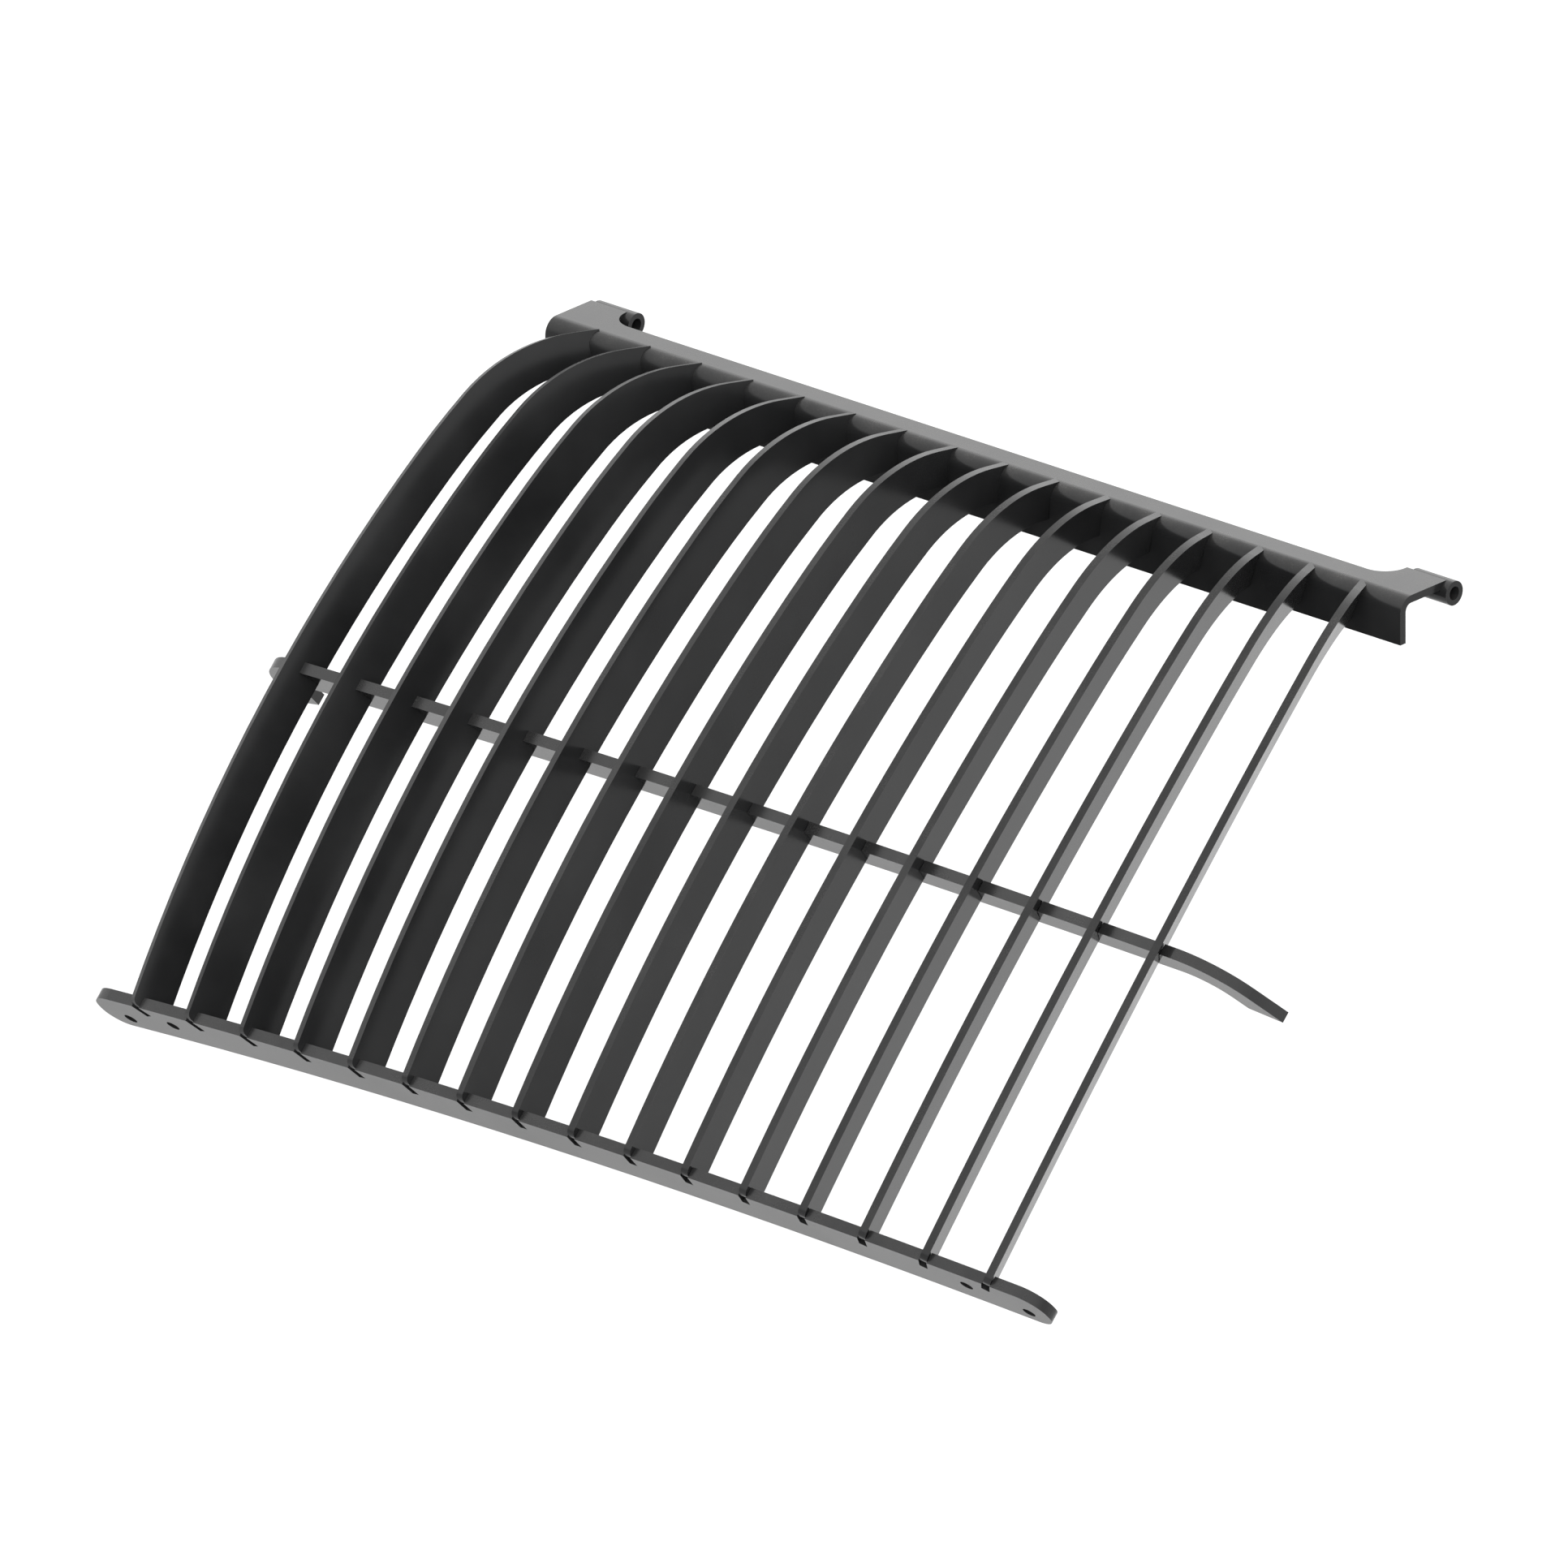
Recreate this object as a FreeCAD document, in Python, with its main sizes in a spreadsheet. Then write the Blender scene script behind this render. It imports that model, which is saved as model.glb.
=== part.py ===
import FreeCAD, Part
import math
import os
import Sketcher

# Window security bar: a grille of flat bars that fan out and bow forward from a
# bent-sheet hinge bracket, held by a slotted middle rail and a drilled bottom rail.
#
# +X runs along the hinge, -Y faces the viewer in front, +Z is up.
# The origin is on the hinge axis, half way along the bracket.

Vec = FreeCAD.Vector
doc = FreeCAD.newDocument("window_security_bar")

# ---------------------------------------------------------------- driving dimensions
# millimetres and degrees
DIMENSIONS = [
    # hinge bracket, a sheet bent once along its length
    ("bracket_length", 835.7),
    ("sheet_gauge", 6.0),
    ("bend_outer_radius", 12.0),
    ("front_leg_drop", 44.2),
    ("front_leg_end_drop", 36.4),
    ("front_leg_end_length", 119.0),
    ("top_leg_depth", 30.0),
    ("left_wing_width", 35.0),
    ("right_wing_width", 38.5),
    ("wing_corner_radius", 20.0),
    # hinge barrels, one under the back edge of each wing
    ("hinge_axis_setback", 53.5),
    ("barrel_outside", 19.0),
    ("barrel_bore", 10.7),
    ("barrel_length", 38.5),
    ("left_barrel_inset", 3.8),
    ("right_barrel_overhang", 6.0),
    # flat bars
    ("bar_count", 16),
    ("bar_pitch", 50.0),
    ("bar_row_shift", -2.0),
    ("bar_gauge", 6.0),
    ("bar_depth", 31.0),
    ("bar_head_depth", 28.3),
    ("bar_fan_step", 4.17),
    ("bar_start_angle", 45.6),
    ("bar_lead", 21.0),
    ("shoulder_radius", 143.0),
    ("shoulder_turn", 39.3),
    ("easing_radius", 730.0),
    ("easing_turn", 4.45),
    # both rails are flat plates square to the line that leans back from the bend
    ("rail_lean", 45.0),
    # middle rail
    ("middle_drop", 332.8),
    ("middle_gauge", 9.0),
    ("middle_front", 79.7),
    ("middle_front_radius", 5700.0),
    ("middle_depth", 27.3),
    ("left_arm_start", 427.0),
    ("left_arm_radius", 42.0),
    ("left_arm_heading", 90.0),
    ("left_arm_width", 29.0),
    ("left_arm_outer_tail", 29.5),
    ("left_arm_inner_tail", 20.0),
    ("right_arm_start", 433.0),
    ("right_arm_radius", 65.8),
    ("right_arm_heading", 63.5),
    ("right_arm_width", 22.5),
    ("right_arm_outer_tail", 34.0),
    ("right_arm_inner_tail", 14.3),
    # bottom rail
    ("bottom_drop", 620.2),
    ("bottom_gauge", 9.0),
    ("bottom_front", 75.8),
    ("bottom_front_radius", 3140.0),
    ("bottom_back", 35.3),
    ("bottom_back_radius", 2998.0),
    ("bottom_left_end", 466.0),
    ("bottom_right_end", 460.0),
    ("bottom_front_corner", 22.0),
    ("bottom_back_corner", 17.0),
    ("foot_pitch", 54.3),
    ("foot_growth", 0.0197),
    ("foot_proud", 4.1),
    ("foot_slot_depth", 13.3),
    ("foot_tab_depth", 2.4),
    ("foot_tab_lift", 1.3),
    ("foot_corner_radius", 5.5),
    # fixing holes, two near each end of the bottom rail
    ("hole_diameter", 10.75),
    ("outer_hole_across", 438.9),
    ("outer_hole_forward", 16.8),
    ("inner_hole_across", 387.7),
    ("inner_hole_forward", 32.8),
    # fits
    ("weld_gap", 0.2),
    ("slot_clearance", 0.45),
    ("slot_end_clearance", 0.3),
]

sheet = doc.addObject("Spreadsheet::Sheet", "sheet")
for row, (alias, value) in enumerate(DIMENSIONS, start=1):
    sheet.set("A%d" % row, alias)
    sheet.set("B%d" % row, str(value))
    sheet.setAlias("B%d" % row, alias)
doc.recompute()


def size(alias):
    """The value that the sheet holds under an alias."""
    return float(sheet.get(alias))


# ---------------------------------------------------------------- shared helpers
sub_parts = []


def keep(item, name):
    """Names an object as one sub-part of the grille."""
    item.Label = name
    sub_parts.append(item)


def new_body(name):
    return doc.addObject("PartDesign::Body", name)


def new_sketch(body, name, role):
    """A sketch on one of the body's own origin planes."""
    sketch = body.newObject("Sketcher::SketchObject", name)
    plane = [item for item in body.Origin.OriginFeatures if item.Role == role][0]
    sketch.AttachmentSupport = [(plane, "")]
    sketch.MapMode = "FlatFace"
    return sketch


def pad(body, sketch, name, length, both_ways=False):
    """A pad whose length is an expression on the sheet."""
    feature = body.newObject("PartDesign::Pad", name)
    feature.Profile = sketch
    feature.setExpression("Length", length)
    if both_ways:
        feature.SideType = "Symmetric"
    body.Tip = feature
    doc.recompute()
    return feature


def cut_through(body, sketch, name, reverse):
    """A pocket through everything, which has to take material away."""
    before = body.Shape.Volume
    feature = body.newObject("PartDesign::Pocket", name)
    feature.Profile = sketch
    feature.Type = "ThroughAll"
    feature.Reversed = reverse
    body.Tip = feature
    doc.recompute()
    if before - body.Shape.Volume < 1:
        raise ValueError("%s cut nothing" % name)
    return feature


def draw_line(sketch, start, end):
    sketch.addGeometry(Part.LineSegment(Vec(*start, 0), Vec(*end, 0)))


def draw_arc(sketch, start, middle, end):
    sketch.addGeometry(Part.Arc(Vec(*start, 0), Vec(*middle, 0), Vec(*end, 0)))


def drop_of_arc(radius, across):
    """How far a shallow arc falls away from its crown at a distance across."""
    return radius - math.sqrt(radius ** 2 - across ** 2)


# The plan frame has its origin on the bend line where the bars start: x runs along
# the bracket, y leans down and back under it, and z leans up and back. Both rails
# lie flat in it. "Forward" below is its -y.
lean = size("rail_lean")
bend_line = Vec(0, size("bend_outer_radius") - size("hinge_axis_setback"), size("barrel_outside") / 2)
plan_frame = FreeCAD.Placement(bend_line, FreeCAD.Rotation(Vec(1, 0, 0), -lean))


# ---------------------------------------------------------------- hinge bracket
def build_bracket():
    body = new_body("hinge_bracket_body")
    radius = size("bend_outer_radius")
    gauge = size("sheet_gauge")
    front = -size("hinge_axis_setback")
    top = size("barrel_outside") / 2
    foot = top - size("front_leg_drop")
    inner = radius - gauge
    centre = (front + radius, top - radius)
    slope = math.sqrt(0.5)

    # section across the sheet: top leg, bend and front leg
    section = new_sketch(body, "sheet_section", "YZ_Plane")
    draw_line(section, (0, top), (centre[0], top))
    draw_arc(section, (centre[0], top),
             (centre[0] - radius * slope, centre[1] + radius * slope), (front, centre[1]))
    draw_line(section, (front, centre[1]), (front, foot))
    draw_line(section, (front, foot), (front + gauge, foot))
    draw_line(section, (front + gauge, foot), (front + gauge, centre[1]))
    draw_arc(section, (front + gauge, centre[1]),
             (centre[0] - inner * slope, centre[1] + inner * slope), (centre[0], top - gauge))
    draw_line(section, (centre[0], top - gauge), (0, top - gauge))
    draw_line(section, (0, top - gauge), (0, top))
    pad(body, section, "bent_sheet", "sheet.bracket_length", both_ways=True)

    # the long relief between the two wings, with a round corner beside each wing
    corner = size("wing_corner_radius")
    edge = front + size("top_leg_depth")
    beyond = size("barrel_outside")
    sides = [(-1, size("bracket_length") / 2 - size("left_wing_width")),
             (1, size("bracket_length") / 2 - size("right_wing_width"))]
    relief = new_sketch(body, "relief_outline", "XY_Plane")
    for sign, side in sides:
        draw_arc(relief, (sign * (side - corner), edge),
                 (sign * (side - corner * (1 - slope)), edge + corner * (1 - slope)),
                 (sign * side, edge + corner))
        draw_line(relief, (sign * side, edge + corner), (sign * side, beyond))
    for along, extra in ((edge, corner), (beyond, 0)):
        draw_line(relief, (extra - sides[0][1], along), (sides[1][1] - extra, along))
    cut_through(body, relief, "wing_relief", reverse=True)

    # the front leg is shallower for a stretch at each end
    steps = new_sketch(body, "leg_steps", "XZ_Plane")
    inside = size("bracket_length") / 2 - size("front_leg_end_length")
    outside = size("bracket_length") / 2 + size("sheet_gauge")
    shallow = top - size("front_leg_end_drop")
    below = foot - size("sheet_gauge")
    for sign in (1, -1):
        corners = [(sign * inside, below), (sign * outside, below),
                   (sign * outside, shallow), (sign * inside, shallow)]
        for start, end in zip(corners, corners[1:] + corners[:1]):
            draw_line(steps, start, end)
    cut_through(body, steps, "shallow_ends", reverse=True)

    # the wings are coped to the round of the barrels, leaving a gap for the weld
    cope = new_sketch(body, "barrel_cope_outline", "YZ_Plane")
    circle = cope.addGeometry(Part.Circle(Vec(0, 0, 0), Vec(0, 0, 1), size("barrel_outside") / 2))
    cope.addConstraint(Sketcher.Constraint("Coincident", circle, 3, -1, 1))
    number = cope.addConstraint(Sketcher.Constraint("Radius", circle, size("barrel_outside") / 2))
    cope.setExpression("Constraints[%d]" % number, "sheet.barrel_outside / 2 + sheet.weld_gap")
    pocket = cut_through(body, cope, "barrel_cope", reverse=False)
    pocket.SideType = "Symmetric"
    doc.recompute()
    keep(body, "hinge_bracket")


# ---------------------------------------------------------------- hinge barrels
def build_barrel(name, middle):
    """A tube along X whose middle lies at an expression on the sheet."""
    body = new_body(name + "_body")
    ring = new_sketch(body, "ring", "YZ_Plane")
    for alias in ("barrel_outside", "barrel_bore"):
        circle = ring.addGeometry(Part.Circle(Vec(0, 0, 0), Vec(0, 0, 1), size(alias) / 2))
        ring.addConstraint(Sketcher.Constraint("Coincident", circle, 3, -1, 1))
        number = ring.addConstraint(Sketcher.Constraint("Diameter", circle, size(alias)))
        ring.setExpression("Constraints[%d]" % number, "sheet." + alias)
    pad(body, ring, "tube", "sheet.barrel_length", both_ways=True)
    body.setExpression("Placement.Base.x", middle)
    keep(body, name)


# ---------------------------------------------------------------- shape of one bar
def heading(angle):
    """Unit step in a bar's own plane, the angle counted from straight down to forward."""
    return Vec(math.sin(math.radians(angle)), -math.cos(math.radians(angle)), 0)


def inward(angle):
    """Unit step square to a heading, towards the back of the bar."""
    return Vec(-math.cos(math.radians(angle)), -math.sin(math.radians(angle)), 0)


class Bar:
    """The place, the plane and the edges of one bar of the fan.

    Its own x runs forward in the fan's direction and its own y runs up the rails'
    common normal, as nearly as the bar's plane allows. Its front edge is a short
    straight, a shoulder, an easing curve and one long sweep down to the bottom rail.
    """

    def __init__(self, index):
        place = index - (size("bar_count") - 1) / 2
        fan = math.radians(size("bar_fan_step") * place)
        self.head = Vec(size("bar_pitch") * place + size("bar_row_shift"), 0, 0)
        self.forward = Vec(math.sin(fan), -math.cos(fan), 0)
        across = size("foot_pitch") * place + size("foot_growth") * place ** 3
        ahead = size("bottom_front") - drop_of_arc(size("bottom_front_radius"), across)
        reach = Vec(across, -ahead, -size("bottom_drop")) - self.head
        self.up = (self.forward * reach.dot(self.forward) - reach).normalize()
        self.frame = FreeCAD.Placement(
            self.head, FreeCAD.Rotation(self.forward, self.up, Vec(), "XYZ"))
        self.foot = Vec(reach.dot(self.forward), reach.dot(self.up), 0)
        self.trace_edges()

    def trace_edges(self):
        head_depth = size("bar_head_depth")
        chord_angle = math.degrees(math.atan2(self.foot.x, -self.foot.y))
        angle = chord_angle + size("bar_start_angle")
        point = heading(angle) * size("bar_lead")
        self.lead_end = point
        self.back_start = inward(angle) * head_depth
        self.back_lead_end = point + self.back_start

        # each curve is its centre, its radius, and its first and last headings
        self.curves = []
        for radius, turn in ((size("shoulder_radius"), size("shoulder_turn")),
                             (size("easing_radius"), size("easing_turn"))):
            centre = point + inward(angle) * radius
            self.curves.append((centre, radius, angle, angle - turn))
            angle = angle - turn
            point = centre - inward(angle) * radius

        # the sweep runs down to the rail's underside, standing proud of its front edge
        chord_out = heading(chord_angle + 90)
        target = self.foot + chord_out * size("foot_proud")
        chord = target - point
        half_turn = angle - math.degrees(math.atan2(chord.x, -chord.y))
        radius = chord.Length / (2 * math.sin(math.radians(half_turn)))
        self.curves.append((point + inward(angle) * radius, radius, angle, angle - 2 * half_turn))

    def edge_at(self, level, setback):
        """How far forward the sweep stands at a level of the plan frame."""
        centre, radius = self.curves[-1][0:2]
        return centre.x + math.sqrt((radius - setback) ** 2 - (level / self.up.z - centre.y) ** 2)

    def axis_at(self, level):
        """Where the bar's own y axis crosses a level of the plan frame."""
        return self.head + self.up * (level / self.up.z)


def draw_bar(sketch, bar):
    """The closed outline of a bar, down its front, round its foot and up its back."""
    depth = size("bar_depth")

    def flat(point):
        return (point.x, point.y)

    def on_sweep(setback, level):
        return Vec(bar.edge_at(level, setback), level / bar.up.z, 0)

    # the bar stands on the rail, and its front runs on down past the rail's front edge to a
    # round toe, whose back part hangs in the mouth of the slot
    seat = size("bottom_gauge") - size("bottom_drop") + size("weld_gap")
    heel = on_sweep(depth, seat)
    tab_end = size("foot_tab_lift") / bar.up.z + bar.foot.y
    tab_back = bar.foot.x - size("foot_tab_depth")
    corner = size("foot_corner_radius")
    sweep_centre, sweep_radius = bar.curves[-1][0:2]
    toe_angle = math.degrees(math.asin((tab_end + corner - sweep_centre.y) / (sweep_radius - corner)))
    toe = sweep_centre - inward(toe_angle) * sweep_radius
    toe_centre = sweep_centre - inward(toe_angle) * (sweep_radius - corner)
    toe_arc = [toe_centre - inward(angle) * corner
               for angle in (toe_angle, (toe_angle - 90) / 2, -90)]

    draw_line(sketch, (0, 0), flat(bar.lead_end))
    for setback, order in ((0, 1), (depth, -1)):
        for centre, radius, first, last in bar.curves[::order]:
            angles = [first, (first + last) / 2, last]
            if (centre, radius) == bar.curves[-1][0:2]:
                end = heel if setback else toe
                angles[2] = math.degrees(math.atan2(end.y - centre.y, end.x - centre.x))
                angles[1] = (first + angles[2]) / 2
            setbacks = [setback] * 3
            if setback and (centre, radius) == bar.curves[0][0:2]:
                # the back edge of the shoulder draws in towards the head
                head_depth = size("bar_head_depth")
                setbacks = [head_depth, (head_depth + depth) / 2, depth]
            points = [centre - inward(angle) * (radius - back)
                      for angle, back in zip(angles[::order], setbacks[::order])]
            draw_arc(sketch, *[flat(point) for point in points])
        if not setback:
            draw_arc(sketch, *[flat(point) for point in toe_arc])
            draw_line(sketch, (toe_centre.x, tab_end), (tab_back, tab_end))
            draw_line(sketch, (tab_back, tab_end), (tab_back, heel.y))
            draw_line(sketch, (tab_back, heel.y), flat(heel))
    draw_line(sketch, flat(bar.back_lead_end), flat(bar.back_start))
    draw_line(sketch, flat(bar.back_start), (0, 0))


# ---------------------------------------------------------------- bars
def build_cope_block():
    """The room that the bracket's bend and front face take, which the bars are cut to."""
    block = doc.addObject("Part::Box", "cope_box")
    block.setExpression("Length", "sheet.bracket_length")
    block.setExpression("Width", "sheet.hinge_axis_setback")
    block.setExpression("Height", "sheet.front_leg_drop")
    block.setExpression("Placement.Base.x", "-sheet.bracket_length / 2")
    block.setExpression("Placement.Base.y", "-sheet.hinge_axis_setback - sheet.weld_gap")
    block.setExpression("Placement.Base.z", "sheet.barrel_outside / 2 - sheet.front_leg_drop + sheet.weld_gap")
    doc.recompute()
    front_top = [number for number, edge in enumerate(block.Shape.Edges, start=1)
                 if abs(edge.CenterOfMass.y - block.Shape.BoundBox.YMin) < 0.001
                 and abs(edge.CenterOfMass.z - block.Shape.BoundBox.ZMax) < 0.001]
    rounded = doc.addObject("Part::Fillet", "cope_block")
    rounded.Base = block
    radius = size("bend_outer_radius") + size("weld_gap")
    rounded.Edges = [(front_top[0], radius, radius)]
    doc.recompute()
    return rounded


def build_bar(name, bar, cope_block):
    body = new_body(name + "_blank")
    outline = new_sketch(body, "outline", "XY_Plane")
    draw_bar(outline, bar)
    pad(body, outline, "flat_bar", "sheet.bar_gauge", both_ways=True)
    body.Placement = plan_frame.multiply(bar.frame)
    coped = doc.addObject("Part::Cut", name + "_coped")
    coped.Base = body
    coped.Tool = cope_block
    doc.recompute()
    keep(coped, name)


# ---------------------------------------------------------------- rails
def draw_slots(sketch, bars, level, gauge, floors):
    """One open slot for each bar, square to the plate and along the bar's own plane."""
    half = size("bar_gauge") / 2 + size("slot_clearance")
    past = 2 * size("bar_depth")
    for bar, floor in zip(bars, floors):
        foot = bar.axis_at(level + gauge / 2)
        side = Vec(-bar.forward.y, bar.forward.x, 0)
        corners = [foot + bar.forward * along + side * (half * sign)
                   for along, sign in ((floor, 1), (floor, -1), (floor + past, -1), (floor + past, 1))]
        for start, end in zip(corners, corners[1:] + corners[:1]):
            draw_line(sketch, (start.x, start.y), (end.x, end.y))


def draw_arm(sketch, side, sign):
    """One end of the middle rail: an arc off the front edge, then a straight tail back.

    Returns where the arm's inner edge meets the back of the rail.
    """
    front_radius = size("middle_front_radius")
    start = size(side + "_arm_start")
    outer = size(side + "_arm_radius")
    inner = outer - size(side + "_arm_width")
    first = 90 - math.degrees(math.asin(start / front_radius))
    last = 90 - size(side + "_arm_heading")

    def spoke(angle):
        return Vec(math.cos(math.radians(angle)), math.sin(math.radians(angle)), 0)

    def flat(point):
        return (sign * point.x, -point.y)

    front_start = Vec(start, size("middle_front") - drop_of_arc(front_radius, start), 0)
    centre = front_start - spoke(first) * outer
    tail = spoke(last - 90)
    ends = []
    for radius, length in ((outer, size(side + "_arm_outer_tail")), (inner, size(side + "_arm_inner_tail"))):
        points = [centre + spoke(angle) * radius for angle in (first, (first + last) / 2, last)]
        draw_arc(sketch, *[flat(point) for point in points])
        ends.append(points[2] + tail * length)
        draw_line(sketch, flat(points[2]), flat(ends[-1]))
    draw_line(sketch, flat(ends[0]), flat(ends[1]))
    return flat(front_start), flat(centre + spoke(first) * inner)


def build_middle_rail(bars):
    """A bowed flat plate whose two ends turn back as curved arms."""
    body = new_body("middle_rail_body")
    level = -size("middle_drop") - size("middle_gauge")
    outline = new_sketch(body, "outline", "XY_Plane")
    left_front, left_back = draw_arm(outline, "left", -1)
    right_front, right_back = draw_arm(outline, "right", 1)
    draw_arc(outline, left_front, (0, -size("middle_front")), right_front)
    draw_arc(outline, left_back, (0, size("middle_depth") - size("middle_front")), right_back)
    pad(body, outline, "plate", "sheet.middle_gauge")

    # a slot is as deep as the back of its bar, at whichever face of the plate that is further back
    slots = new_sketch(body, "slot_outlines", "XY_Plane")
    floors = [min(bar.edge_at(face, size("bar_depth")) for face in (level, level + size("middle_gauge")))
              - size("slot_end_clearance") for bar in bars]
    draw_slots(slots, bars, level, size("middle_gauge"), floors)
    cut_through(body, slots, "bar_slots", reverse=True)
    body.Placement = plan_frame.multiply(FreeCAD.Placement(Vec(0, 0, level), FreeCAD.Rotation()))
    keep(body, "middle_rail")


def build_bottom_rail(bars):
    """A bowed flat plate, slotted at the front and drilled near both ends."""
    body = new_body("bottom_rail_body")
    level = -size("bottom_drop")
    front = size("bottom_front")
    back = size("bottom_back")
    ends = (-size("bottom_left_end"), size("bottom_right_end"))
    front_ends = [front - drop_of_arc(size("bottom_front_radius"), end) for end in ends]
    back_ends = [back - drop_of_arc(size("bottom_back_radius"), end) for end in ends]
    outline = new_sketch(body, "outline", "XY_Plane")
    draw_arc(outline, (ends[0], -front_ends[0]), (0, -front), (ends[1], -front_ends[1]))
    draw_line(outline, (ends[1], -front_ends[1]), (ends[1], -back_ends[1]))
    draw_arc(outline, (ends[1], -back_ends[1]), (0, -back), (ends[0], -back_ends[0]))
    draw_line(outline, (ends[0], -back_ends[0]), (ends[0], -front_ends[0]))
    pad(body, outline, "plate", "sheet.bottom_gauge")

    # both corners of an end share its width, so together their radii stay within it
    room = min(ahead - behind for ahead, behind in zip(front_ends, back_ends))
    wanted = size("bottom_front_corner") + size("bottom_back_corner")
    share = min(1, (room - size("weld_gap")) / wanted)
    for corner, aheads in (("front", front_ends), ("back", back_ends)):
        edges = ["Edge%d" % number for number, edge in enumerate(body.Shape.Edges, start=1)
                 for end, ahead in zip(ends, aheads)
                 if edge.CenterOfMass.distanceToPoint(Vec(end, -ahead, size("bottom_gauge") / 2)) < 0.001]
        squared = body.Tip
        rounding = body.newObject("PartDesign::Fillet", corner + "_corners")
        rounding.Base = (squared, edges)
        rounding.setExpression("Radius", "%r * sheet.bottom_%s_corner" % (share, corner))
        body.Tip = rounding
        doc.recompute()

    slots = new_sketch(body, "slot_outlines", "XY_Plane")
    floors = [bar.foot.x - size("foot_slot_depth") for bar in bars]
    draw_slots(slots, bars, level, size("bottom_gauge"), floors)
    cut_through(body, slots, "bar_slots", reverse=True)

    holes = new_sketch(body, "hole_outlines", "XY_Plane")
    for which in ("outer", "inner"):
        across = size(which + "_hole_across")
        ahead = size(which + "_hole_forward")
        for sign in (1, -1):
            circle = holes.addGeometry(
                Part.Circle(Vec(sign * across, -ahead, 0), Vec(0, 0, 1), size("hole_diameter") / 2))
            number = holes.addConstraint(Sketcher.Constraint("Diameter", circle, size("hole_diameter")))
            holes.setExpression("Constraints[%d]" % number, "sheet.hole_diameter")
    cut_through(body, holes, "fixing_holes", reverse=True)
    body.Placement = plan_frame.multiply(FreeCAD.Placement(Vec(0, 0, level), FreeCAD.Rotation()))
    keep(body, "bottom_rail")


# ---------------------------------------------------------------- build
bars = [Bar(index) for index in range(int(size("bar_count")))]
build_bracket()
build_barrel("hinge_barrel_left",
             "(sheet.barrel_length - sheet.bracket_length) / 2 + sheet.left_barrel_inset")
build_barrel("hinge_barrel_right",
             "(sheet.bracket_length - sheet.barrel_length) / 2 + sheet.right_barrel_overhang")
build_middle_rail(bars)
build_bottom_rail(bars)
cope_block = build_cope_block()
for number, bar in enumerate(bars, start=1):
    build_bar("bar_%02d" % number, bar, cope_block)
doc.recompute()

# ---------------------------------------------------------------- check and export
for item in doc.Objects:
    if {"Invalid", "Error"} & set(item.State):
        raise ValueError("%s failed: %s" % (item.Label, item.State))
for item in sub_parts:
    if item.Shape.isNull() or not item.Shape.isValid() or len(item.Shape.Solids) != 1:
        raise ValueError("%s is not one valid solid" % item.Label)

os.makedirs("parts", exist_ok=True)
for item in sub_parts:
    item.Shape.exportStep("parts/%s.step" % item.Label)
    print("%-20s %10.0f mm3" % (item.Label, item.Shape.Volume))
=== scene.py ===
# %% [markdown]
# # A curved window guard in satin black paint
# The guard is welded from flat steel: a folded bracket with two hinge barrels, sixteen
# curved bars cut from plate, and two cross rails that the bars slot into. All of it is
# sprayed with one satin black paint. The solids come in finished from the CAD model, so
# this lesson is about paint, light and camera. The first lines load the solids and keep
# their box, which places the floor and the lights.

# %% Load the solids
import bpy
import numpy as np
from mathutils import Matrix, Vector


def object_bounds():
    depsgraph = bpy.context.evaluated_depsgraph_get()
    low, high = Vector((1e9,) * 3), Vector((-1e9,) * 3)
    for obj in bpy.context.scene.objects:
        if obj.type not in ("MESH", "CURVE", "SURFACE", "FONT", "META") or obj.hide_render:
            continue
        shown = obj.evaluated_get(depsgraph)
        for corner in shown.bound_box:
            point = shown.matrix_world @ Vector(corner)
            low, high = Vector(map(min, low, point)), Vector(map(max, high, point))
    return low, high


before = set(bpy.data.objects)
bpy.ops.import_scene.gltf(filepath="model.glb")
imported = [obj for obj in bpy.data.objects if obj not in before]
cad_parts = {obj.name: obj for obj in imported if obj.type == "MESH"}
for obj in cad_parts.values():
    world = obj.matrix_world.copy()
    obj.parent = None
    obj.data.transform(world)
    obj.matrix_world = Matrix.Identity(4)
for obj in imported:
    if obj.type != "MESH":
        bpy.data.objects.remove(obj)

cad_low, cad_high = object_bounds()
cad_size = [round(1000 * side, 1) for side in cad_high - cad_low]
print("solids:", len(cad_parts), "size in mm:", cad_size)

# %% [markdown]
# ## Helpers for node trees
# A material in Blender is a tree of nodes. It could be put together by hand, or with the
# same few lines of Python for each node. Small helpers take up those lines instead: one
# adds a node with its settings, three do sums, and one starts a group with named sockets.
# A group is the right home for an effect that several paints share, because its sockets
# can be read like the dials of a machine.

# %% Helpers that add a node
MM = 0.001


def feed(tree, socket, value):
    """Gives an input a plain value, or links it to the output that feeds it."""
    if isinstance(value, bpy.types.NodeSocket):
        tree.links.new(value, socket)
    else:
        socket.default_value = value


def add(tree, kind, settings=None, inputs=None):
    """Adds one node, with its settings and with its inputs by socket name."""
    made = tree.nodes.new(kind)
    for name, value in (settings or {}).items():
        setattr(made, name, value)
    for name, value in (inputs or {}).items():
        feed(tree, made.inputs[name], value)
    return made


print("one millimetre is", MM, "m")

# %% Helpers for sums


def maths(tree, operation, first, second=0.0, third=0.0, clamp=False):
    """One sum, and the socket that holds its result."""
    made = add(tree, "ShaderNodeMath", {"operation": operation, "use_clamp": clamp})
    for place, value in enumerate((first, second, third)):
        feed(tree, made.inputs[place], value)
    return made.outputs[0]


def vectors(tree, operation, first, second):
    """One sum of two vectors, and the outputs of its node: Vector or Value holds the result."""
    made = add(tree, "ShaderNodeVectorMath", {"operation": operation})
    for place, value in enumerate((first, second)):
        feed(tree, made.inputs[place], value)
    return made.outputs


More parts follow.
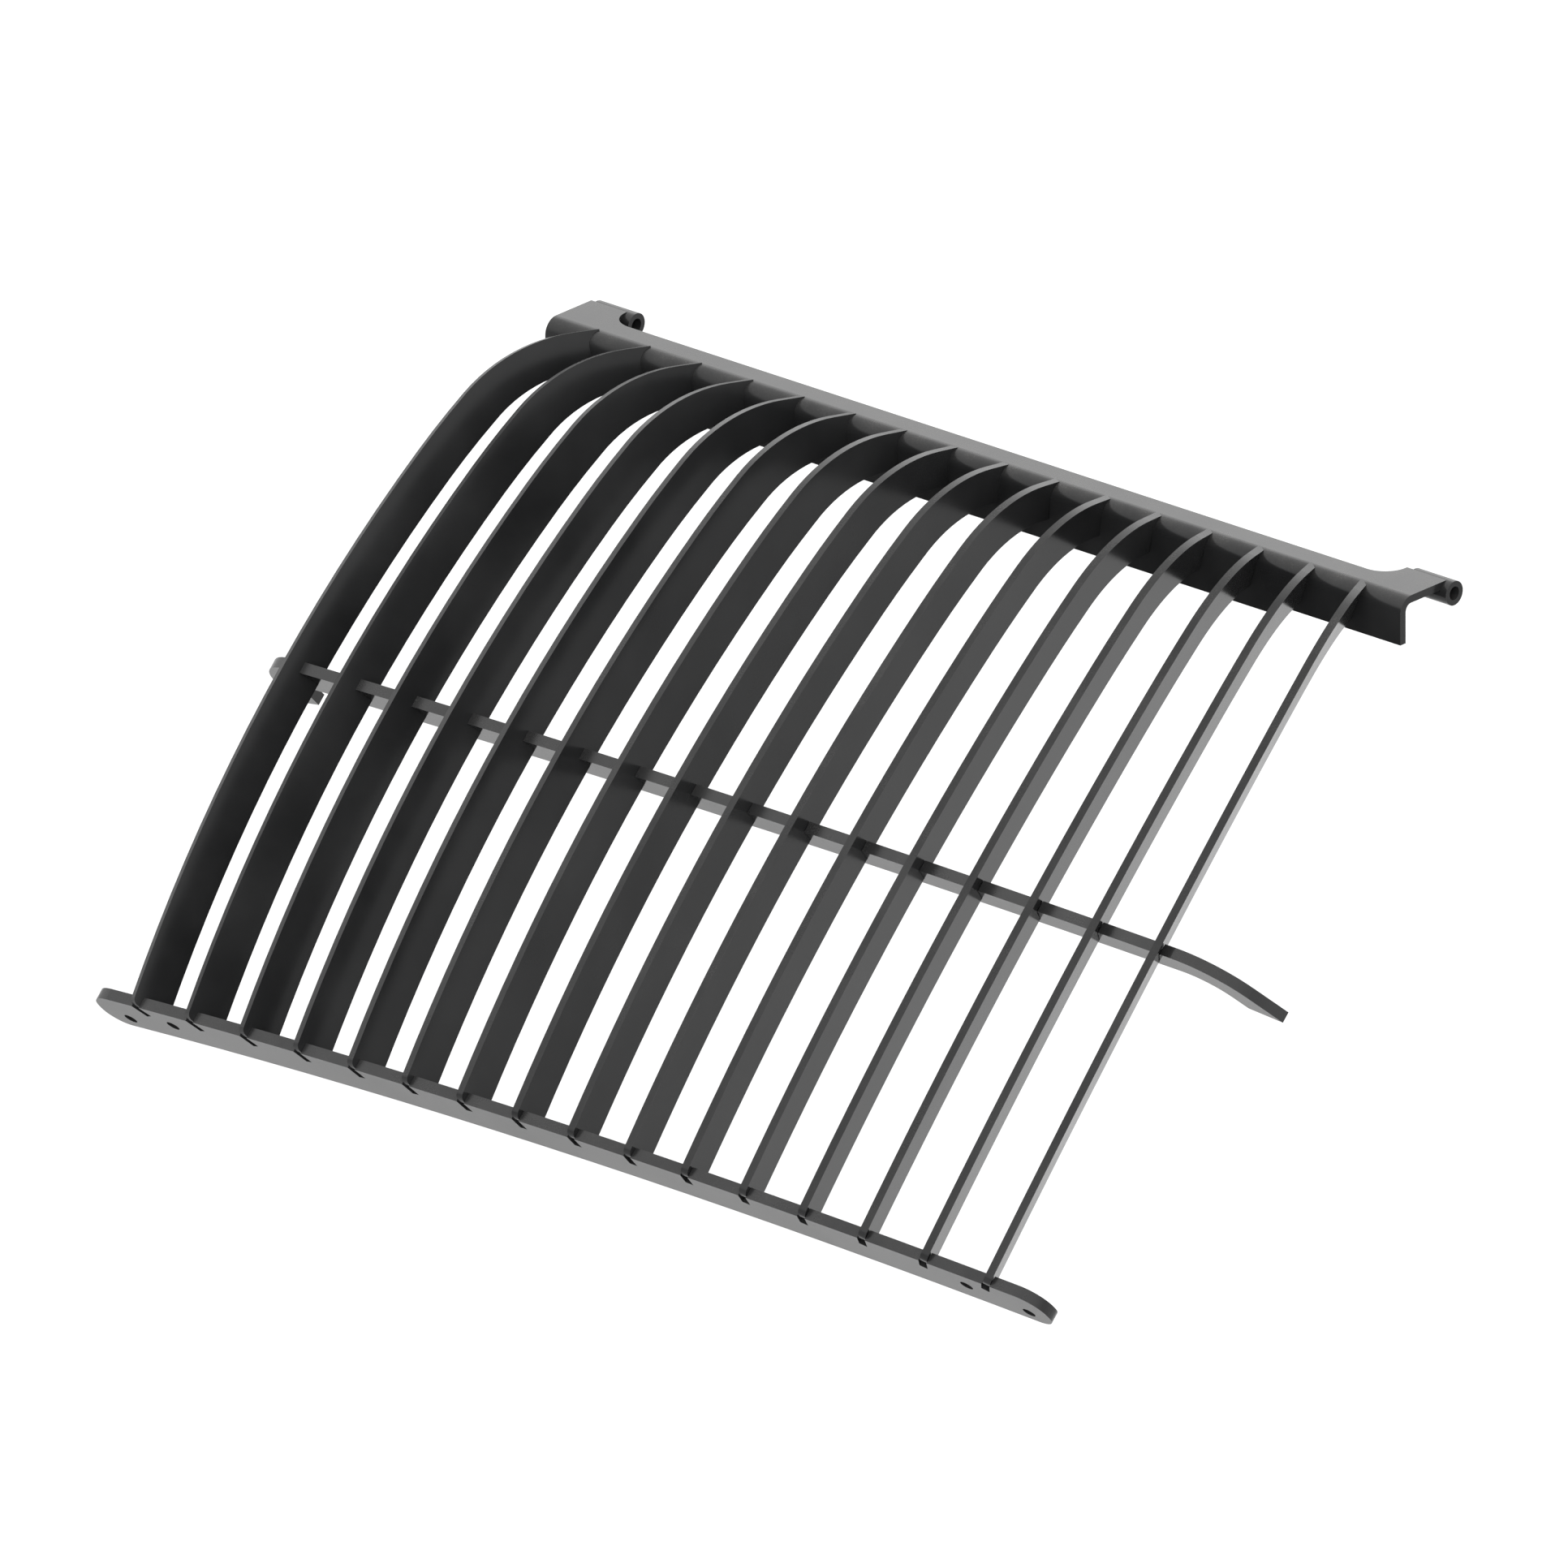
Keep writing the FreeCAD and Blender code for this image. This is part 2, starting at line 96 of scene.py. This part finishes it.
def stretch(tree, value, low, high, to_low=0.0, to_high=1.0):
    """A value spread from one range to another and held inside it."""
    spread = {"Value": value, "From Min": low, "From Max": high, "To Min": to_low, "To Max": to_high}
    return add(tree, "ShaderNodeMapRange", {"clamp": True}, spread).outputs["Result"]


print("sums ready")

# %% Helpers for groups
FLOAT = "NodeSocketFloat"
VECTOR = "NodeSocketVector"


def start_group(name, inputs, outputs):
    """A shader group with named sockets. Returns its tree, its input node and its output node."""
    tree = bpy.data.node_groups.new(name, "ShaderNodeTree")
    for label, (kind, value) in inputs.items():
        socket = tree.interface.new_socket(label, in_out="INPUT", socket_type=kind)
        socket.default_value = value
    for label, kind in outputs.items():
        tree.interface.new_socket(label, in_out="OUTPUT", socket_type=kind)
    return tree, tree.nodes.new("NodeGroupInput"), tree.nodes.new("NodeGroupOutput")


print("group sockets:", FLOAT, "and", VECTOR)

# %% [markdown]
# ## Paint skin
# Sprayed paint never dries quite flat. It has a soft orange peel with waves about two
# millimetres long, and finer grit on top. An image could show both, but it would have to
# be unwrapped and would blur close up. Noise in the object's own coordinates keeps its
# real size on every piece. The group puts out the height of this skin, a slow cloud about
# ninety millimetres wide for the places where the spray went on a little thicker, and
# flecks where the grit stands highest.

# %% Noise of a known size


def shifted_place(tree, offset):
    """The point on the piece in its own coordinates, moved by the offset."""
    place = add(tree, "ShaderNodeTexCoord").outputs["Object"]
    return vectors(tree, "ADD", place, offset)["Vector"]


def sized_noise(tree, place, size, detail, roughness=0.5):
    """Noise whose blobs are about as wide as the size that is given in metres."""
    scale = maths(tree, "DIVIDE", 1.0, size)
    inputs = {"Vector": place, "Scale": scale, "Detail": detail, "Roughness": roughness}
    return add(tree, "ShaderNodeTexNoise", {"noise_dimensions": "3D"}, inputs).outputs["Fac"]


print("noise reads each piece in its own coordinates, in metres")

# %% Paint skin group
NO_OFFSET = (0.0, 0.0, 0.0)
CLOUD_SPAN = (0.3, 0.7)
FLECK_SPAN = (0.58, 0.72)
skin, skin_in, skin_out = start_group(
    "Paint skin",
    {
        "Peel size": (FLOAT, 2.2 * MM),
        "Grit size": (FLOAT, 0.5 * MM),
        "Grit share": (FLOAT, 0.3),
        "Cloud size": (FLOAT, 90 * MM),
        "Offset": (VECTOR, NO_OFFSET),
    },
    {"Height": FLOAT, "Cloud": FLOAT, "Fleck": FLOAT},
)
skin_place = shifted_place(skin, skin_in.outputs["Offset"])
peel = sized_noise(skin, skin_place, skin_in.outputs["Peel size"], detail=1.0)
grit = sized_noise(skin, skin_place, skin_in.outputs["Grit size"], detail=2.0)
cloud = sized_noise(skin, skin_place, skin_in.outputs["Cloud size"], detail=3.0, roughness=0.55)
peel_share = maths(skin, "SUBTRACT", 1.0, skin_in.outputs["Grit share"])
height = maths(skin, "MULTIPLY", peel, peel_share)
height = maths(skin, "MULTIPLY_ADD", grit, skin_in.outputs["Grit share"], height)
skin.links.new(height, skin_out.inputs["Height"])
skin.links.new(stretch(skin, cloud, *CLOUD_SPAN), skin_out.inputs["Cloud"])
skin.links.new(stretch(skin, grit, *FLECK_SPAN), skin_out.inputs["Fleck"])
print("group:", skin.name, "with outputs", [s.name for s in skin_out.inputs if s.name])

# %% [markdown]
# ## Rubbed edges
# Paint draws thin over a sharp corner and is the first to be rubbed there, so corners
# look a shade lighter and smoother than the flats. A painted mask would take an evening,
# and the pointiness of the mesh says nothing on such large plain faces. The Bevel node
# works on any mesh: it gives the normal that a rounded corner would have. Where it
# differs from the true normal there is an edge, and noise breaks that line up so that
# the wear comes and goes.

# %% Rubbed edges group
CORNER_RAYS = 4
EDGE_SPAN = (0.995, 0.86)
PATCH_SPAN = (0.42, 0.66)
rub, rub_in, rub_out = start_group(
    "Rubbed edges",
    {"Width": (FLOAT, 0.6 * MM), "Patch size": (FLOAT, 20 * MM), "Offset": (VECTOR, NO_OFFSET)},
    {"Mask": FLOAT},
)
true_normal = add(rub, "ShaderNodeNewGeometry").outputs["Normal"]
corner = add(rub, "ShaderNodeBevel", {"samples": CORNER_RAYS}, {"Radius": rub_in.outputs["Width"]})
agreement = vectors(rub, "DOT_PRODUCT", true_normal, corner.outputs["Normal"])["Value"]
on_edge = stretch(rub, agreement, *EDGE_SPAN)
rub_place = shifted_place(rub, rub_in.outputs["Offset"])
patches = sized_noise(rub, rub_place, rub_in.outputs["Patch size"], detail=4.0, roughness=0.6)
patches = stretch(rub, patches, *PATCH_SPAN)
rub.links.new(maths(rub, "MULTIPLY", on_edge, patches), rub_out.inputs["Mask"])
print("group:", rub.name, "finds an edge where the normals agree by less than", EDGE_SPAN[0])

# %% [markdown]
# ## Cut faces
# The bars and rails are cut from plate by a beam, and the beam leaves fine upright lines
# through the thickness that thin paint doesn't hide. They belong only to the faces that
# stand square to the plate. Those faces could be picked out and given a paint of their
# own, but the plate's normal already tells them apart: a face that doesn't look along it
# is a cut face, and noise that ignores that direction gives the lines.

# %% Cut faces group
STANDING_SPAN = (0.6, 0.3)
cut, cut_in, cut_out = start_group(
    "Cut faces",
    {"Plate normal": (VECTOR, (0.0, 0.0, 1.0)), "Line size": (FLOAT, 0.7 * MM)},
    {"Mask": FLOAT, "Height": FLOAT},
)
plate_way = cut_in.outputs["Plate normal"]
cut_place = add(cut, "ShaderNodeTexCoord").outputs["Object"]
cut_normal = add(cut, "ShaderNodeNewGeometry").outputs["True Normal"]
along = vectors(cut, "DOT_PRODUCT", cut_normal, plate_way)["Value"]
standing = stretch(cut, maths(cut, "ABSOLUTE", along), *STANDING_SPAN)
depth = vectors(cut, "DOT_PRODUCT", cut_place, plate_way)["Value"]
scaled = {"Vector": plate_way, "Scale": depth}
through = add(cut, "ShaderNodeVectorMath", {"operation": "SCALE"}, scaled).outputs["Vector"]
flattened = vectors(cut, "SUBTRACT", cut_place, through)["Vector"]
lines = sized_noise(cut, flattened, cut_in.outputs["Line size"], detail=2.0)
cut.links.new(standing, cut_out.inputs["Mask"])
cut.links.new(maths(cut, "MULTIPLY", lines, standing), cut_out.inputs["Height"])
print("group:", cut.name, "with outputs", [s.name for s in cut_out.inputs if s.name])

# %% [markdown]
# ## Settled dust
# A guard under a window gathers a thin film of dust on whatever faces up. The film is
# pale, quite matt and uneven. It could be a second skin of mesh, but that would change
# the shape of the part, and a mask in the paint is enough. The group reads how far a face
# looks upward and thins the film with two sizes of noise, so that it is a veil with
# specks and not a second paint.

# %% Settled dust group
UPWARD_SPAN = (0.35, 0.95)
DRIFT_SPAN = (0.3, 0.75)
SPECK_SPAN = (0.45, 0.75)
SPECK_SHARE = 0.6
VEIL_SHARE = 0.4
dust, dust_in, dust_out = start_group(
    "Settled dust",
    {"Drift size": (FLOAT, 30 * MM), "Speck size": (FLOAT, 1.2 * MM), "Offset": (VECTOR, NO_OFFSET)},
    {"Mask": FLOAT},
)
dust_normal = add(dust, "ShaderNodeNewGeometry").outputs["Normal"]
upward = add(dust, "ShaderNodeSeparateXYZ", inputs={"Vector": dust_normal}).outputs["Z"]
lying = stretch(dust, upward, *UPWARD_SPAN)
dust_place = shifted_place(dust, dust_in.outputs["Offset"])
drift = sized_noise(dust, dust_place, dust_in.outputs["Drift size"], detail=4.0, roughness=0.6)
drift = stretch(dust, drift, *DRIFT_SPAN)
specks = sized_noise(dust, dust_place, dust_in.outputs["Speck size"], detail=2.0)
specks = stretch(dust, specks, *SPECK_SPAN)
film = maths(dust, "MULTIPLY", drift, maths(dust, "MULTIPLY_ADD", specks, SPECK_SHARE, VEIL_SHARE))
dust.links.new(maths(dust, "MULTIPLY", lying, film), dust_out.inputs["Mask"])
print("group:", dust.name, "lies where a normal rises by more than", UPWARD_SPAN[0])

# %% [markdown]
# ## The paint itself
# One function mixes the paint for a piece. A matt and a glossy shader could be mixed by
# angle, but the Principled shader does that in one node, and the export can read it. With
# a very dark base and a low index of refraction it behaves like this satin black: nearly
# black when seen square on, and pale where it is seen at a glancing angle. The groups
# then vary the colour, the roughness and the surface. Each piece gets its own offset into
# the noise and its own shade, because no two pieces take up spray alike.

# %% Paint colours and depths
PAINT_DARK = (0.0062, 0.0063, 0.0065, 1.0)
PAINT_LIGHT = (0.0125, 0.0126, 0.0128, 1.0)
PAINT_RUBBED = (0.034, 0.034, 0.035, 1.0)
PAINT_DUSTY = (0.11, 0.106, 0.10, 1.0)
PAINT_INDEX = 1.28
CLOUD_TONE = 0.8
FLECK_TONE = 0.25
PEEL_DEPTH = 0.012 * MM
LINE_DEPTH = 0.010 * MM
RUBBED_ROUGHNESS = -0.08
DUSTY_ROUGHNESS = 0.35
CUT_ROUGHNESS = 0.05
print("base colour from", PAINT_DARK[:3], "to", PAINT_LIGHT[:3])

# %% Helpers for layers


def place_group(tree, group, **inputs):
    """Puts a shared group in a material, with this material's values."""
    named = {name.replace("_", " "): value for name, value in inputs.items()}
    return add(tree, "ShaderNodeGroup", {"node_tree": group}, named).outputs


def blend(tree, share, under, over):
    """A colour with another laid over it by a share from 0 to 1."""
    made = add(tree, "ShaderNodeMix", {"data_type": "RGBA"})
    sockets = [s for s in made.inputs if s.enabled]
    for socket, value in zip(sockets, (share, under, over)):
        feed(tree, socket, value)
    return [s for s in made.outputs if s.enabled][0]


def raise_skin(tree, height, depth, **under):
    """The normal of a surface with a fine relief, over the normal of any relief under it."""
    inputs = {"Height": height, "Distance": depth, **under}
    return add(tree, "ShaderNodeBump", inputs=inputs).outputs["Normal"]


def piece_offset(number):
    """A different corner of the noise for every piece, the same on every run."""
    return (0.37 * number, -0.23 * number, 0.61 * number)


print("pieces 1 and 2 read the noise at", piece_offset(1), "and", piece_offset(2))

# %% Paint recipe


def mix_paint(
    name, number, shade, satin, plate_normal=None, index=PAINT_INDEX, rubbing=0.5, dusting=0.2
):
    """Satin black paint. Satin is its lowest and highest roughness, and shade lightens it a little."""
    paint = bpy.data.materials.new(name)
    paint.use_nodes = True
    tree = paint.node_tree
    tree.nodes.clear()
    offset = piece_offset(number)
    skin_here = place_group(tree, skin, Offset=offset)
    rub_here = place_group(tree, rub, Offset=offset)
    dust_here = place_group(tree, dust, Offset=offset)
    tone = maths(tree, "MULTIPLY_ADD", skin_here["Cloud"], CLOUD_TONE, shade)
    tone = maths(tree, "MULTIPLY_ADD", skin_here["Fleck"], FLECK_TONE, tone, clamp=True)
    colour = blend(tree, tone, PAINT_DARK, PAINT_LIGHT)
    rubbed = maths(tree, "MULTIPLY", rub_here["Mask"], rubbing)
    colour = blend(tree, rubbed, colour, PAINT_RUBBED)
    dusty = maths(tree, "MULTIPLY", dust_here["Mask"], dusting)
    colour = blend(tree, dusty, colour, PAINT_DUSTY)
    roughness = stretch(tree, skin_here["Cloud"], 0.0, 1.0, *satin)
    roughness = maths(tree, "MULTIPLY_ADD", rubbed, RUBBED_ROUGHNESS, roughness)
    roughness = maths(tree, "MULTIPLY_ADD", dusty, DUSTY_ROUGHNESS, roughness, clamp=True)
    normal = raise_skin(tree, skin_here["Height"], PEEL_DEPTH)
    if plate_normal is not None:
        cut_here = place_group(tree, cut, Plate_normal=plate_normal)
        normal = raise_skin(tree, cut_here["Height"], LINE_DEPTH, Normal=normal)
        roughness = maths(tree, "MULTIPLY_ADD", cut_here["Mask"], CUT_ROUGHNESS, roughness, clamp=True)
    inputs = {"Base Color": colour, "Roughness": roughness, "Normal": normal}
    plain = {"Metallic": 0.0, "IOR": index}
    shader = add(tree, "ShaderNodeBsdfPrincipled", inputs={**inputs, **plain})
    add(tree, "ShaderNodeOutputMaterial", inputs={"Surface": shader.outputs["BSDF"]})
    return paint


print("paint has index", PAINT_INDEX, "unless a piece asks for another")

# %% [markdown]
# ## Which way each plate lies
# The cut-face lines need every plate's normal. The sixteen bars fan out, so each has its
# own, and typing them in would go wrong at the first change to the fan. The broad faces
# hold most of a plate's area, so the area-weighted spread of the face normals has one
# main direction, and that direction is the plate's normal.

# %% Plate normals


def plate_normal_of(node):
    """The direction in which most of the surface looks, either way round."""
    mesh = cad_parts[node].data
    normals = np.array([tuple(p.normal) for p in mesh.polygons])
    areas = np.array([p.area for p in mesh.polygons])
    spread = (normals * areas[:, None]).T @ normals
    return Vector(np.linalg.eigh(spread)[1][:, -1])


for node in ("bar_01", "bar_16", "middle_rail", "bottom_rail"):
    print(node, "normal", [round(v, 3) for v in plate_normal_of(node)])

# %% [markdown]
# ## Painting the bars
# One material could serve all the bars, but then they would share a plate normal and a
# patch of noise. Each gets the same recipe with its own offset, shade and plate normal.
# The golden ratio steps the shade from bar to bar, so neighbours differ but nothing is
# left to chance.

# %% Paint the bars
GOLDEN_STEP = 0.618
BAR_SHADES = 0.18
PLATE_SATIN = (0.17, 0.24)
bars = sorted(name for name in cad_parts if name.startswith("bar_"))


def put_on(node, paint):
    """Gives a CAD solid its paint, in every slot it has."""
    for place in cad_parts[node].material_slots:
        place.material = paint


for number, node in enumerate(bars):
    shade = BAR_SHADES * ((number * GOLDEN_STEP) % 1.0)
    put_on(node, mix_paint(f"black_paint_{node}", number, shade, PLATE_SATIN, plate_normal_of(node)))
print("painted", len(bars), "bars")

# %% [markdown]
# ## Painting the rails, the bracket and the barrels
# The rails are plates too. Their coat shines a little more than the bars' and most on the
# middle rail, so each has a higher index of refraction: that lifts the shine at every
# angle, where a lighter base would only turn them grey. The bracket is folded, so it has
# no single plate normal, and the barrels are short tubes. Those go without the cut lines.
# The bracket's top is the widest face that looks up, so it carries the most dust, and the
# barrels are handled at the hinge, so their edges are the most rubbed.

# %% Paint the other pieces
RAIL_INDEX = {"middle_rail": 1.38, "bottom_rail": 1.33}
RAIL_SHADE = 0.08
BRACKET_SHADE = 0.05
BRACKET_SATIN = (0.18, 0.25)
BARREL_SHADE = 0.0
BARREL_SATIN = (0.16, 0.22)
BRACKET_NUMBER = 20
for number, (node, index) in enumerate(RAIL_INDEX.items(), start=len(bars)):
    normal = plate_normal_of(node)
    put_on(node, mix_paint(f"black_paint_{node}", number, RAIL_SHADE, PLATE_SATIN, normal, index))
bracket_paint = mix_paint(
    "black_paint_bracket", BRACKET_NUMBER, BRACKET_SHADE, BRACKET_SATIN, dusting=0.3
)
put_on("hinge_bracket", bracket_paint)
barrels = ("hinge_barrel_left", "hinge_barrel_right")
for number, node in enumerate(barrels, start=BRACKET_NUMBER + 1):
    put_on(node, mix_paint(f"black_paint_{node}", number, BARREL_SHADE, BARREL_SATIN, rubbing=0.7))
print("paints made:", len(bpy.data.materials))

# %% [markdown]
# ## Floor
# The floor is a plain pale sheet. A sheet that curves up behind is the usual way, but
# here the sky is as pale as the floor, so a flat one with far edges does. The guard hangs
# on a wall in use, so the floor lies some way below it, and its shade stays soft and
# faint.

# %% Floor
FLOOR_DROP = 0.30
FLOOR_HALF = 12.0
FLOOR_COLOUR = (0.50, 0.50, 0.50, 1.0)
FLOOR_ROUGHNESS = 0.9
floor_level = cad_low.z - FLOOR_DROP
corners = [
    (FLOOR_HALF * x, FLOOR_HALF * y, floor_level) for x, y in ((-1, -1), (1, -1), (1, 1), (-1, 1))
]
floor_mesh = bpy.data.meshes.new("floor")
floor_mesh.from_pydata(corners, [], [(0, 1, 2, 3)])
floor = bpy.data.objects.new("floor", floor_mesh)
bpy.context.scene.collection.objects.link(floor)
floor_paint = bpy.data.materials.new("pale_floor")
floor_paint.use_nodes = True
floor_shader = floor_paint.node_tree.nodes["Principled BSDF"]
floor_shader.inputs["Base Color"].default_value = FLOOR_COLOUR
floor_shader.inputs["Roughness"].default_value = FLOOR_ROUGHNESS
floor_shader.inputs["Specular IOR Level"].default_value = 0.0
floor_mesh.materials.append(floor_paint)
print("floor at", round(floor_level, 3), "m")

# %% [markdown]
# ## Light
# Black gloss shows its surroundings, so the surroundings are the light. Lamps alone would
# show as streaks on a dark part. The sky is even and white at the horizon and about twice
# as bright overhead, like a room with a glowing ceiling, so faces that tip upward come
# out lighter than upright ones. One large soft panel stands behind and to the left, where
# the flat top of the bracket mirrors it. A second one stands in front and only fills the
# gaps between the bars: it is kept out of reflections, so that it never shows as a glare
# on the flats.

# %% Sky
HORIZON_GLOW = 1.0
CEILING_GLOW = 2.2
RISE_SPAN = (0.05, 0.40)
world = bpy.data.worlds.new("studio")
bpy.context.scene.world = world
world.use_nodes = True
sky_tree = world.node_tree
direction = add(sky_tree, "ShaderNodeTexCoord").outputs["Generated"]
rise = add(sky_tree, "ShaderNodeSeparateXYZ", inputs={"Vector": direction}).outputs["Z"]
glow = stretch(sky_tree, rise, *RISE_SPAN, HORIZON_GLOW, CEILING_GLOW)
sky = sky_tree.nodes["Background"]
sky.inputs["Color"].default_value = (1.0, 1.0, 1.0, 1.0)
sky_tree.links.new(glow, sky.inputs["Strength"])
print("sky from", HORIZON_GLOW, "at the horizon to", CEILING_GLOW, "overhead")

# %% Panels
TOWARD_VIEWER = Vector((0.611, -0.698, 0.374))
TOWARD_BACK = Vector((-0.611, 0.698, 0.42))
FRONT_DISTANCE = 3.0
BACK_DISTANCE = 3.2


def hang_panel(name, place, aim, width, tall, power):
    """A soft rectangular light that looks at a point. Power is in watts for each square metre."""
    data = bpy.data.lights.new(name, "AREA")
    data.shape = "RECTANGLE"
    data.size = width
    data.size_y = tall
    data.energy = power * width * tall
    panel = bpy.data.objects.new(name, data)
    panel.location = place
    panel.rotation_euler = (Vector(aim) - Vector(place)).to_track_quat("-Z", "Y").to_euler()
    bpy.context.scene.collection.objects.link(panel)
    return panel


middle = (cad_low + cad_high) / 2
front_place = middle + FRONT_DISTANCE * TOWARD_VIEWER
front_panel = hang_panel("front_panel", front_place, middle, width=2.0, tall=2.0, power=18.0)
front_panel.visible_glossy = False
top_centre = Vector((0.0, 0.0, cad_high.z))
back_place = top_centre + BACK_DISTANCE * TOWARD_BACK
hang_panel("back_panel", back_place, top_centre, width=3.6, tall=1.6, power=3.0)

# %% [markdown]
# ## Camera
# The camera looks from the right and a little above. A very long lens would come close to
# a catalogue drawing, where parallel edges stay parallel, but never quite get there. So
# the camera is set to parallel projection: the width of the picture is given directly in
# metres, and the camera only has to stand clear of the part.

# %% Camera
FRAME_WIDTH = 1.153
STAND_OFF = 6.0
LOOK_AT = Vector((0.0, -0.2642, -0.1836))
view_back = TOWARD_VIEWER.normalized()
camera_data = bpy.data.cameras.new("camera")
camera_data.type = "ORTHO"
camera_data.ortho_scale = FRAME_WIDTH
camera = bpy.data.objects.new("camera", camera_data)
camera.location = LOOK_AT + STAND_OFF * view_back
camera.rotation_euler = view_back.to_track_quat("Z", "Y").to_euler()
bpy.context.scene.collection.objects.link(camera)
bpy.context.scene.camera = camera
bpy.context.scene.view_settings.view_transform = "Standard"
print("picture is", FRAME_WIDTH, "m wide")
